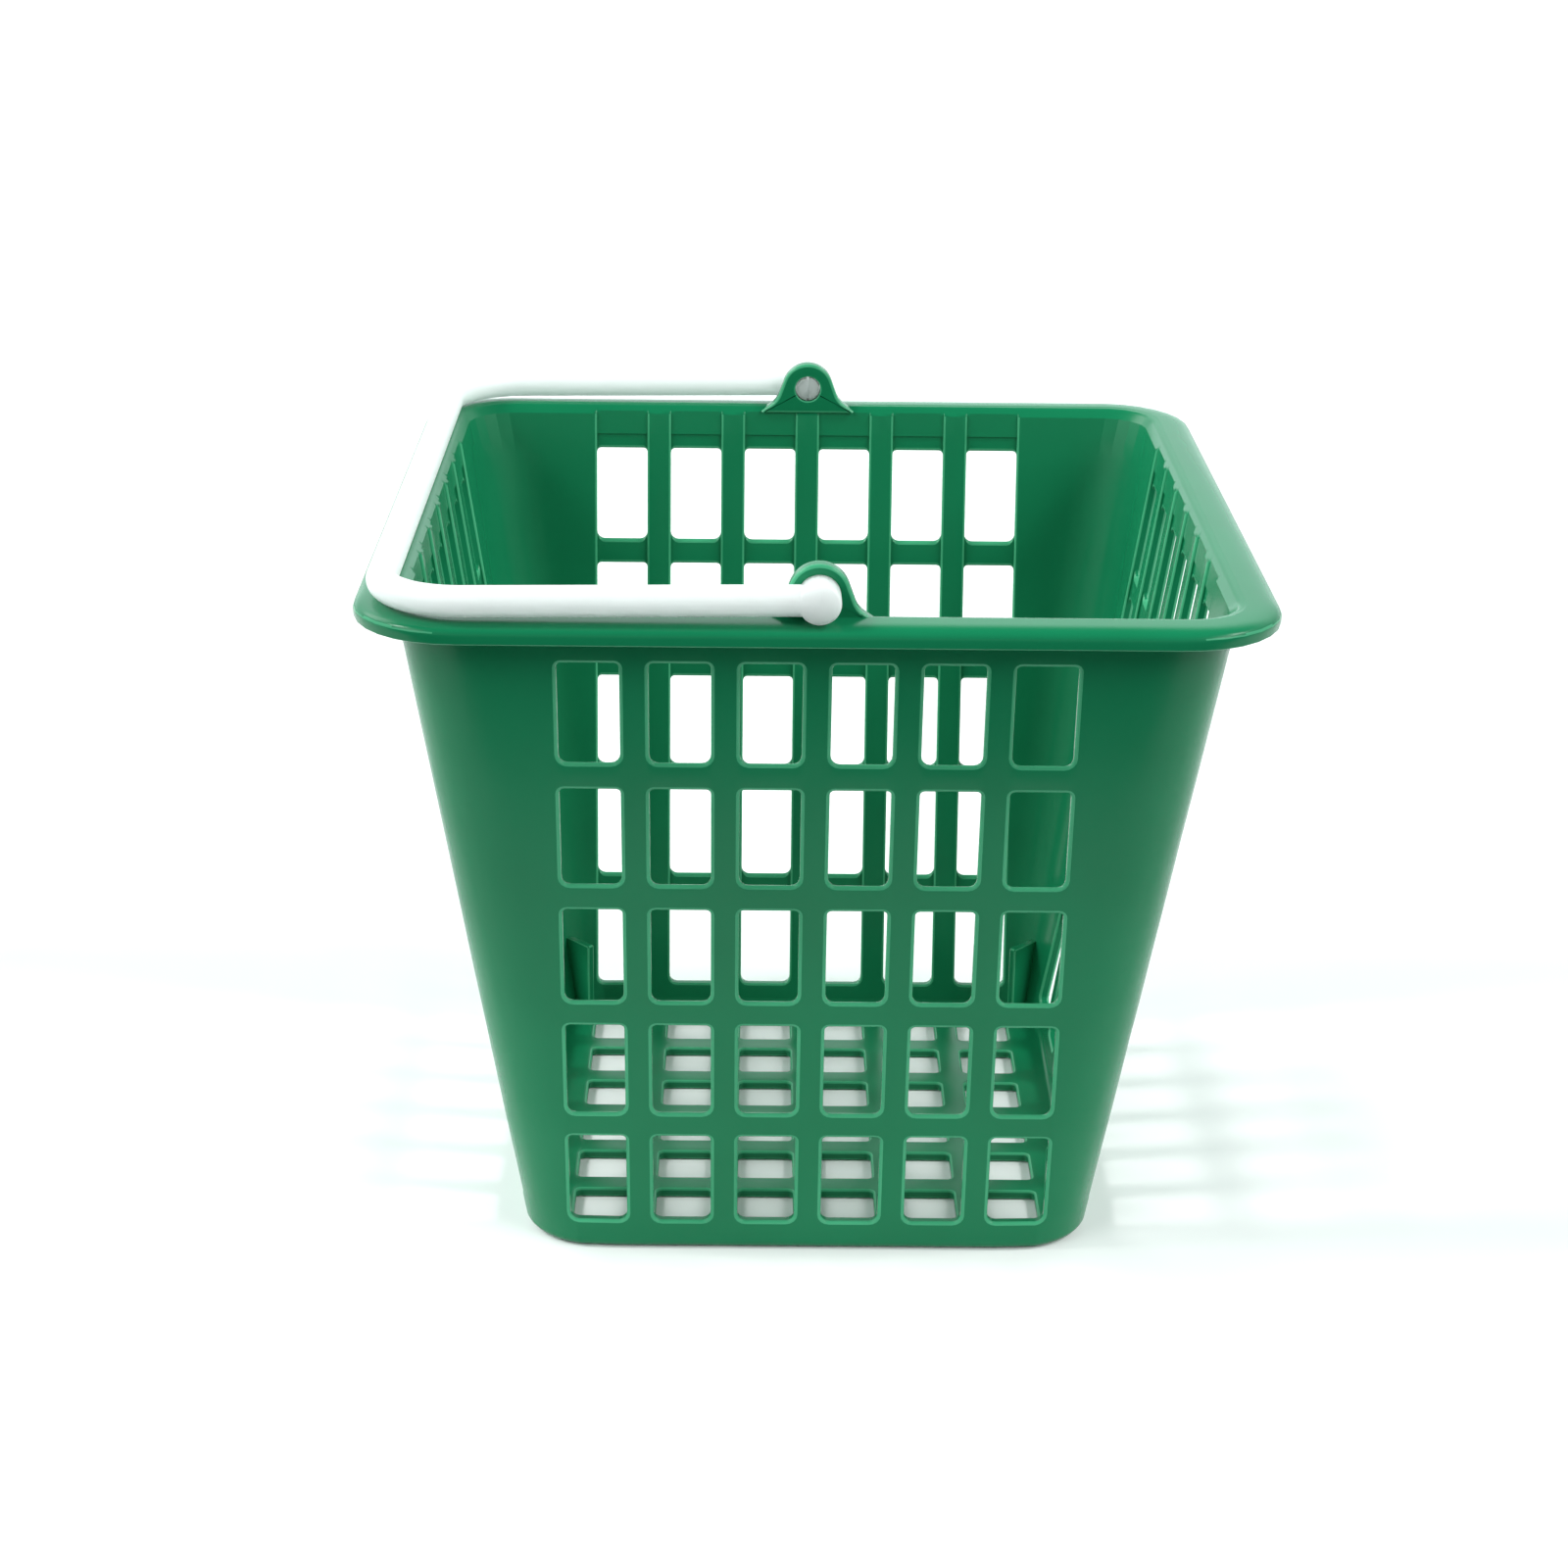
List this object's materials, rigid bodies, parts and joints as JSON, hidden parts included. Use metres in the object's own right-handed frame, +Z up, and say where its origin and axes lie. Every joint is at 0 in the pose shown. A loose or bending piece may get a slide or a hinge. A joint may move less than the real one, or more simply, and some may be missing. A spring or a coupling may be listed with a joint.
{
  "type": "golf ball basket",
  "caption": "Square tapered lattice basket for golf balls, moulded in plastic with a rolled rim, and a white bail handle that swings in ears on the rim.",
  "frame": {"origin": "middle of the base, on the surface that the basket stands on", "axes": "+Z up, the front wall faces -Y, the hinge line of the handle runs along Y, and the handle rests on the -X side of the rim"},
  "size_m": [0.252, 0.2556, 0.2265],
  "materials": {
    "green_polypropylene": "satin gloss moulded polypropylene, mid green",
    "white_polypropylene": "satin moulded polypropylene, cool white"
  },
  "bodies": {
    "basket_body": {"basket": "green_polypropylene"},
    "bail_body": {"bail_handle": "white_polypropylene"}
  },
  "joints": [
    {"name": "bail_swing", "type": "hinge", "parent": "basket_body", "child": "bail_body", "pos_m": [0, 0, 0.218], "axis": [0, 1, 0], "range_deg": [0, 181.3]}
  ]
}
